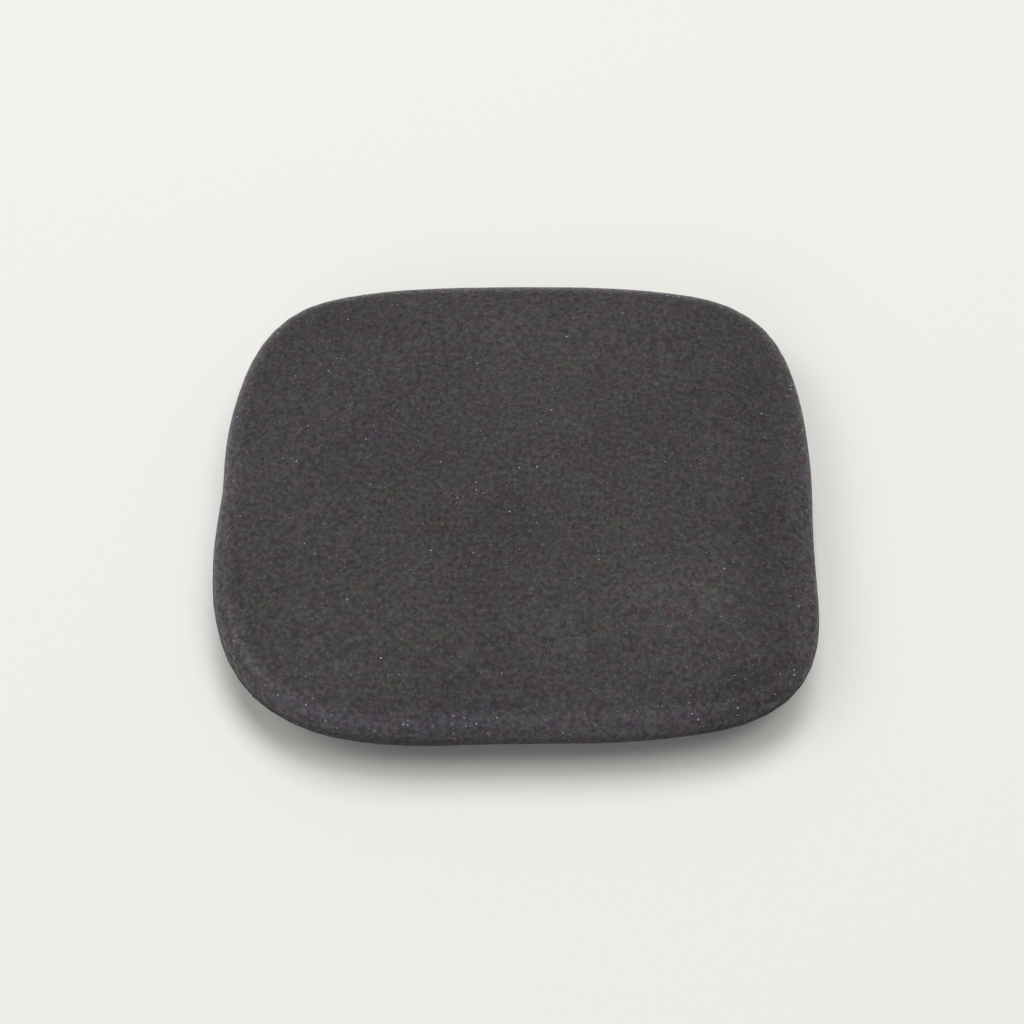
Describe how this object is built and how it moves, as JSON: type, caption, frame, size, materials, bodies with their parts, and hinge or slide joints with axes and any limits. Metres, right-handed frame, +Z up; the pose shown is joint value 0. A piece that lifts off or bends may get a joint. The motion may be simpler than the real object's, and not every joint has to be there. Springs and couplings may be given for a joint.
{
  "type": "basalt massage stone",
  "caption": "Flat, water-worn basalt stone with a rounded-rectangle outline, rolled edges and a gently crowned top, warmed and laid on the body or pressed in the hand for massage.",
  "frame": {"origin": "centre of the flat seat on the underside, at the middle of the bounding box in plan", "axes": "+X along the stone's long way towards the worn shoulder, +Y across it to the back, +Z up out of the crowned top face"},
  "size_m": [0.14, 0.1226, 0.02],
  "materials": {
    "basalt": "matte"
  },
  "bodies": {
    "root": {"stone": "basalt"}
  },
  "joints": []
}
